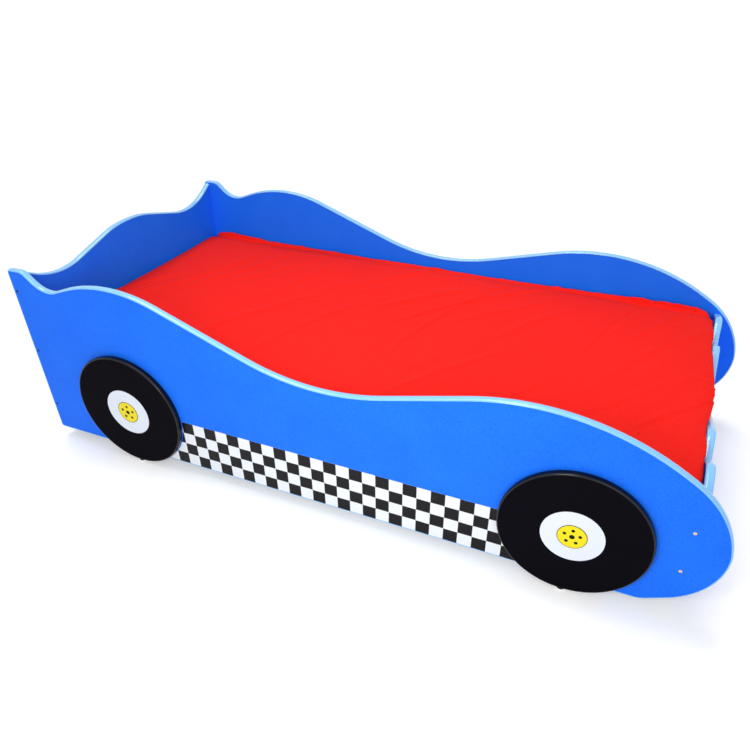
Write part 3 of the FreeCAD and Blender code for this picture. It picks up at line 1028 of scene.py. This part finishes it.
def blow_up(obj):
    """Cloth with pressure and no gravity. Points only move outwards, up to a cap."""
    start = per_point(obj, "co")
    outwards = per_point(obj, "normal")
    cloth = obj.modifiers.new("cloth", "CLOTH")
    for name, value in CLOTH_SETTINGS.items():
        setattr(cloth.settings, name, value)
    cloth.settings.effector_weights.gravity = 0
    for number in range(1, SIM_FRAMES + 1):
        bpy.context.scene.frame_set(number)
    evaluated = obj.evaluated_get(bpy.context.evaluated_depsgraph_get())
    moved = np.array([vertex.co for vertex in evaluated.data.vertices])
    obj.modifiers.remove(cloth)
    bpy.context.scene.frame_set(1)
    swell = np.clip(np.sum((moved - start) * outwards, axis=1), 0.0, MOST_SWELL)
    swell = evened(obj, swell, EVENING_ROUNDS)
    set_points(obj, start + outwards * swell[:, None])
    return float(swell.max())


print("cloth moved up to", round(blow_up(mattress) * 1000, 1), "mm")

# %% [markdown]
# The swollen slab may not leave the room that the frame gives it: its sides stay
# between the panels, and its underside stays flat on the slats. Its top has a
# slight crown and the low, broad swells of foam that has been slept on, and its
# far corner at the head stands up a little where it is squeezed in.

# %% Settle the mattress
MATTRESS_CROWN = 0.006
CROWN_FULL_BELOW_TOP = 0.010
SWELL_COUNT = 7
SWELL_HEIGHT = 0.0003
SWELL_LENGTHS = (0.25, 0.7)
CORNER_RISE = 0.009
CORNER_REACH = 0.16


def smooth_step(value, low, high):
    share = np.clip((value - low) / (high - low), 0, 1)
    return share * share * (3 - 2 * share)


def slow_waves(points, seed):
    """Broad, very low swells of the top."""
    rng = np.random.default_rng(seed)
    total = np.zeros(len(points))
    for _ in range(SWELL_COUNT):
        direction = rng.uniform(0, 2 * math.pi)
        length = rng.uniform(*SWELL_LENGTHS)
        phase = rng.uniform(0, 2 * math.pi)
        along = points[:, 0] * math.cos(direction) + points[:, 1] * math.sin(direction)
        total += np.sin(2 * math.pi * along / length + phase)
    return total * SWELL_HEIGHT


def settle(points):
    """Fits the slab to its room, and gives its top the crown and the swells."""
    low = np.array(foam_low)
    high = np.array(foam_high)
    share = (points - points.min(axis=0)) / np.ptp(points, axis=0)
    settled = low + share * (high - low)
    upper = smooth_step(
        settled[:, 2], (low[2] + high[2]) / 2, high[2] - CROWN_FULL_BELOW_TOP)
    across = np.clip(settled[:, 1] / high[1], -1, 1)
    settled[:, 2] -= upper * MATTRESS_CROWN * across ** 2
    settled[:, 2] += upper * slow_waves(settled, seed=3)
    from_corner = np.hypot(settled[:, 0] - low[0], settled[:, 1] - high[1])
    settled[:, 2] += upper * CORNER_RISE * np.exp(-(from_corner / CORNER_REACH) ** 2)
    return settled


set_points(mattress, settle(per_point(mattress, "co")))
print("mattress top is at", round(float(per_point(mattress, "co")[:, 2].max()), 4))

# %% [markdown]
# At the foot the foam is pressed flat against the front panel, and leans out a
# little over the low places of its top edge, most of all over the middle dip.

# %% Foot end
FILL_BELOW_TOP = (0.080, 0.045)
FILL_FROM_END = (0.060, 0.012)
FOOT_FILL = 0.008
LEAN_ABOVE_PANEL = (0.002, 0.022)
LEAN_FROM_END = (0.050, 0.004)
LEAN_ENDS_AT_Y = (0.36, 0.42)
FOOT_LEAN = 0.003
DIP_LEAN = 0.008
DIP_MIDDLE_Y = -0.03
DIP_HALF_WIDTH = 0.15
front_top_y, front_top_z = zip(*front_outline)


def near_top(points, start, full):
    """From 0 to 1 between two depths under the mattress's top."""
    return smooth_step(points[:, 2], foam_high.z - start, foam_high.z - full)


def near_foot(points, start, full):
    """From 0 to 1 between two distances from the mattress's foot end."""
    return smooth_step(points[:, 0], foam_high.x - start, foam_high.x - full)


def over_front_panel(points):
    """From 0 at the panel's top edge to 1 well above it, at the foot end only."""
    panel_top = np.interp(points[:, 1], front_top_y, front_top_z) + MOULDING_CROWN
    above = smooth_step(points[:, 2] - panel_top, *LEAN_ABOVE_PANEL)
    from_corner = 1 - smooth_step(np.abs(points[:, 1]), *LEAN_ENDS_AT_Y)
    return above * from_corner * near_foot(points, *LEAN_FROM_END)


def press_to_foot(points):
    """Fills the foot end out to the panel, and over it where the panel is low."""
    upper = near_top(points, *FILL_BELOW_TOP)
    at_end = near_foot(points, *FILL_FROM_END)
    centre = np.exp(-((points[:, 1] - DIP_MIDDLE_Y) / DIP_HALF_WIDTH) ** 2)
    lean = (FOOT_LEAN + DIP_LEAN * centre) * over_front_panel(points)
    filled = np.minimum(points[:, 0] + FOOT_FILL * upper * at_end, foam_high.x)
    return np.maximum(points[:, 0], filled) + lean


apply_modifier(mattress, "SUBSURF", levels=1, render_levels=1)
shaped = per_point(mattress, "co")
shaped[:, 0] = press_to_foot(shaped)
print("foot end is at", round(float(shaped[:, 0].max()), 4))

# %% [markdown]
# Along the far panel a shallow trough runs in front of the edge. It is as deep as
# the sheet's lip will be high: most near the head, and again near the foot.

# %% Trough
TROUGH_DEPTH = 0.009
TROUGH_FROM_SIDE = 0.036
TROUGH_HALF_WIDTH = 0.018
LIP_ALONG_X = (
    (-0.98, 0.2), (-0.95, 0.6), (-0.90, 0.9), (-0.82, 0.75), (-0.70, 0.55),
    (-0.55, 0.40), (-0.38, 0.33), (0.2, 0.30), (0.5, 0.45), (0.68, 0.80),
    (0.80, 0.90), (0.88, 0.5))
LIP_FROM_FACES = 0.03
LIP_WAVE = 0.21
WAVE_MIX = ((1.0, 1.0), (0.7, 0.53), (0.5, 0.31), (0.35, 0.19))


def uneven(along, scale, seed):
    """A smooth random line between 0 and 1. Each wave has a weight and a length."""
    phases = np.random.default_rng(seed).uniform(0, 2 * math.pi, len(WAVE_MIX))
    total = sum(weight * np.sin(2 * math.pi * along / (scale * share) + phase)
                for (weight, share), phase in zip(WAVE_MIX, phases))
    return 0.5 + 0.5 * total / sum(weight for weight, share in WAVE_MIX)


def lip_size(points):
    """How strong the lip and its trough are along the bed, from 0 to about 1."""
    share = np.interp(points[:, 0], *zip(*LIP_ALONG_X))
    share *= 0.8 + 0.4 * uneven(points[:, 0], LIP_WAVE, seed=3)
    return share * smooth_step(
        points[:, 2], foam_low.z + LIP_FROM_FACES, foam_high.z - LIP_FROM_FACES)


def trough(points):
    from_side = foam_high.y - points[:, 1]
    across = np.exp(-((from_side - TROUGH_FROM_SIDE) / TROUGH_HALF_WIDTH) ** 2)
    return TROUGH_DEPTH * across * lip_size(points)


shaped[:, 2] -= trough(shaped)
set_points(mattress, shaped)
bpy.ops.object.shade_smooth()
dress(mattress, "white_ticking", "mattress", "mattress_foam", "mattress")
print("mattress is", [round(side, 3) for side in mattress.dimensions])

# %% [markdown]
# The fitted sheet is drawn over the mattress and turned under it all round, so
# its cloth starts as a copy of the mattress's own skin, one sheet's thickness
# further out, with the middle of the underside cut away. Along the far side and
# the foot, where its folds are tight, it gets smaller faces. The foam is drawn in
# a little under it, so that it shows nowhere through the cloth.

# %% Sheet from the mattress's skin
SHEET_LIFT = 0.0010
CORE_GAP = 0.0016
SHEET_TUCK = 0.090
FINE_BAND = 0.060
UNDERSIDE = -0.5
ON_SLATS = -0.7


def in_opening(face):
    """On the underside, further in than the tuck."""
    middle = face.center
    inside_x = foam_low.x + SHEET_TUCK < middle.x < foam_high.x - SHEET_TUCK
    inside_y = foam_low.y + SHEET_TUCK < middle.y < foam_high.y - SHEET_TUCK
    return face.normal.z < UNDERSIDE and inside_x and inside_y


def in_fine_band(face):
    middle = face.center
    at_side = middle.y > foam_high.y - FINE_BAND
    at_foot = middle.x > foam_high.x - FINE_BAND
    return (at_side or at_foot) and middle.z > foam_high.z - FINE_BAND


def build_sheet():
    sheet = add_object("fitted_sheet_cloth", mattress.data.copy())
    choose(sheet, "FACE", in_opening)
    enter_edit()
    bpy.ops.mesh.delete(type="FACE")
    bpy.ops.mesh.select_all(action="SELECT")
    bpy.ops.transform.shrink_fatten(value=SHEET_LIFT)
    leave_edit()
    choose(sheet, "FACE", in_fine_band)
    enter_edit()
    bpy.ops.mesh.subdivide(number_cuts=1)
    leave_edit()
    bpy.ops.object.shade_smooth()
    return sheet


def draw_in(obj, gap):
    """Pulls a skin inwards along its normals, except where it rests on the slats."""
    normals = per_point(obj, "normal")
    above_slats = normals[:, 2:3] > ON_SLATS
    set_points(obj, per_point(obj, "co") - normals * gap * above_slats)


sheet = build_sheet()
draw_in(mattress, CORE_GAP)
print("sheet has", len(sheet.data.polygons), "faces")

# %% [markdown]
# Cotton that has been slept on keeps long, faint creases. They run aslant from
# the near edge towards the foot, each a narrow ridge beside a shallow hollow, and
# fade out at both ends. A seeded generator spreads them unevenly.

# %% Creases
CREASE_COUNT = 34
CREASE_HEIGHT = 0.0042
CREASE_WIDTH = 0.0078
# Slant, bend, middle, reach, share of the height and share of the width
CREASE_RANGES = (
    (0.4, 1.9), (-0.3, 0.3), (-0.9, 0.9), (0.2, 0.8), (0.35, 1.0), (0.7, 1.6))
BEFORE_HEAD = 0.5
HOLLOW_SHARE = 0.5
HOLLOW_BESIDE = 1.7
DEEPEST_CREASE = 0.0014


def creases(points, seed):
    """Height of all creases at each point of the sheet, in metres."""
    rng = np.random.default_rng(seed)
    total = np.zeros(len(points))
    half_width = foam_high.y
    across = points[:, 1] / half_width
    for _ in range(CREASE_COUNT):
        near_x = rng.uniform(foam_low.x - BEFORE_HEAD, foam_high.x)
        slant, bend, middle, reach, size, width = (
            rng.uniform(*limits) for limits in CREASE_RANGES)
        line_x = near_x + half_width * (slant * (across + 1) / 2 + bend * across ** 2)
        off = (points[:, 0] - line_x) / math.hypot(1.0, slant) / (width * CREASE_WIDTH)
        fade = np.exp(-((across - middle) / reach) ** 4)
        hollow = HOLLOW_SHARE * np.exp(-((off - HOLLOW_BESIDE) ** 2))
        total += size * CREASE_HEIGHT * fade * (np.exp(-off ** 2) - hollow)
    return np.maximum(total, -DEEPEST_CREASE)


print("creases are up to", CREASE_HEIGHT * 1000, "mm high")

# %% [markdown]
# The loose cloth is pushed up along the far panel into a steep lip, highest near
# the head and again near the foot, with small waves along its crest. The crest
# leans in over the foam. At the foot the cloth is gathered into short slanting
# folds where it leans over the dip.

# %% Lip and gathers
LIP_HEIGHT = 0.021
LIP_CREST = 0.012
LIP_START = 0.024
LIP_OVERHANG = 0.007
OVERHANG_FROM_TOP = (0.008, -0.008)
RIM_HEIGHT = 0.003
RIM_WAVE = 0.09
FOLD_SPACING = 0.017
FOLD_HEIGHT = 0.0050
FOLD_SLANT = 0.8
SHIFT_WAVE = 0.11
HEIGHT_WAVE = 0.07
GATHERS_HALF_WIDTH = 0.11
RISE_SHARE = 0.6
WRINKLES_BELOW_TOP = (0.045, 0.015)
GATHERS_FROM_END = (0.05, 0.01)


def raise_lip(points):
    """Moves the cloth at the far edge up, and its crest a little inwards."""
    from_side = foam_high.y - points[:, 1]
    size = lip_size(points)
    face = 1 - smooth_step(from_side, LIP_CREST, LIP_START)
    rise = LIP_HEIGHT + RIM_HEIGHT * uneven(points[:, 0], RIM_WAVE, seed=21)
    points[:, 2] += size * face * rise
    above_foam = near_top(points, *OVERHANG_FROM_TOP)
    points[:, 1] -= size * face * above_foam * LIP_OVERHANG


def gathers(points):
    aslant = points[:, 1] + FOLD_SLANT * (points[:, 0] - foam_high.x)
    shift = 2 * uneven(points[:, 1], SHIFT_WAVE, seed=8)
    folds = np.abs(np.sin(math.pi * aslant / FOLD_SPACING + shift))
    where = np.exp(-((points[:, 1] - 2 * DIP_MIDDLE_Y) / GATHERS_HALF_WIDTH) ** 2)
    return folds * where * FOLD_HEIGHT * uneven(points[:, 1], HEIGHT_WAVE, seed=5)


def wrinkle(obj):
    points = per_point(obj, "co")
    upper = near_top(points, *WRINKLES_BELOW_TOP)
    folds = gathers(points)
    at_foot = near_foot(points, *GATHERS_FROM_END)
    points[:, 2] += upper * (creases(points, seed=7) + RISE_SHARE * folds * at_foot)
    points[:, 0] += folds * over_front_panel(points)
    raise_lip(points)
    points[:, 2] = np.maximum(points[:, 2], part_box("fitted_sheet")[0].z)
    set_points(obj, points)


wrinkle(sheet)
dress(sheet, "red_cotton", "mattress", "red_cotton", "fitted_sheet")

# %% [markdown]
# The light is plain. The world fills in evenly from all round, and a high soft
# sun from behind the headboard lays a short shadow in front of the bed. A broad,
# weaker sun comes from the front. One lamp beside the camera makes the near side
# brightest at its waist, and a long soft box over the mattress reaches the inner
# faces. The background is white where the camera or a gloss sees it, without
# lighting the bed any more.

# %% Light
WORLD_STRENGTH = 0.42
WHITE = (1.0, 1.0, 1.0, 1.0)
# Name, place, target, power, and the spread in degrees or the size
SUNS = (
    ("high_sun", (-0.28, 0.22, 0.93), (0, 0, 0), 1.0, 25),
    ("front_sun", (0.45, -0.75, 0.45), (0, 0, 0), 0.7, 50))
BOXES = (
    ("side_lamp", (0.25, -1.55, 0.95), (0.22, -0.49, 0.42), 7.5, (0.4, 0.4), "DISK"),
    ("soft_box", (0.05, -0.42, 1.30), (-0.1, 0.30, 0.45), 6, (1.7, 0.25), "RECTANGLE"))


def seen_directly(tree):
    """1 where the camera, a gloss or a clear material sees the surface, else 0."""
    ray = tree.nodes.new("ShaderNodeLightPath").outputs
    seen = calculate(tree, "MAXIMUM", ray["Is Camera Ray"], ray["Is Glossy Ray"])
    return calculate(tree, "MAXIMUM", seen, ray["Is Transmission Ray"])


def build_world():
    world = bpy.data.worlds.new("studio")
    world.use_nodes = True
    tree = world.node_tree
    background = set_inputs(tree.nodes["Background"], {"Color": WHITE})
    strength = spread_values(tree, seen_directly(tree), WORLD_STRENGTH, 1.0)
    join(tree, (strength, background.inputs["Strength"]))
    bpy.context.scene.world = world


def add_lamp(kind, name, place, target, power):
    lamp = add_object(name, bpy.data.lights.new(name, kind))
    lamp.data.energy = power
    lamp.location = place
    aim = Vector(target) - Vector(place)
    lamp.rotation_euler = aim.to_track_quat("-Z", "Y").to_euler()
    return lamp


build_world()
bpy.context.scene.view_settings.view_transform = "Standard"
for *lamp_values, spread in SUNS:
    add_lamp("SUN", *lamp_values).data.angle = math.radians(spread)
for *lamp_values, size, shape in BOXES:
    lamp = add_lamp("AREA", *lamp_values)
    lamp.data.shape = shape
    lamp.data.size, lamp.data.size_y = size
    lamp.visible_camera = False
print("world strength is", WORLD_STRENGTH)

# %% [markdown]
# The floor is white and stays white in the picture, but keeps the shadow of the
# bed. Its colour takes the shadow, and a little glow that only the camera and
# glosses see lifts it to the white of the background.

# %% Floor
FLOOR_SIZE = 60.0
FLOOR_COLOUR = (0.95, 0.95, 0.95, 1.0)
FLOOR_GLOW = 0.26


def build_floor():
    bpy.ops.mesh.primitive_plane_add(size=FLOOR_SIZE)
    floor = newest()
    floor.name = "floor"
    tree, shader = new_material(
        "white_floor", Base_Color=FLOOR_COLOUR, Roughness=0.9,
        Specular_IOR_Level=0.0, Emission_Color=WHITE)
    glow = calculate(tree, "MULTIPLY", seen_directly(tree), FLOOR_GLOW)
    join(tree, (glow, shader.inputs["Emission Strength"]))
    paint(floor, "white_floor")


deselect_all()
build_floor()
print("floor is", FLOOR_SIZE, "m across")
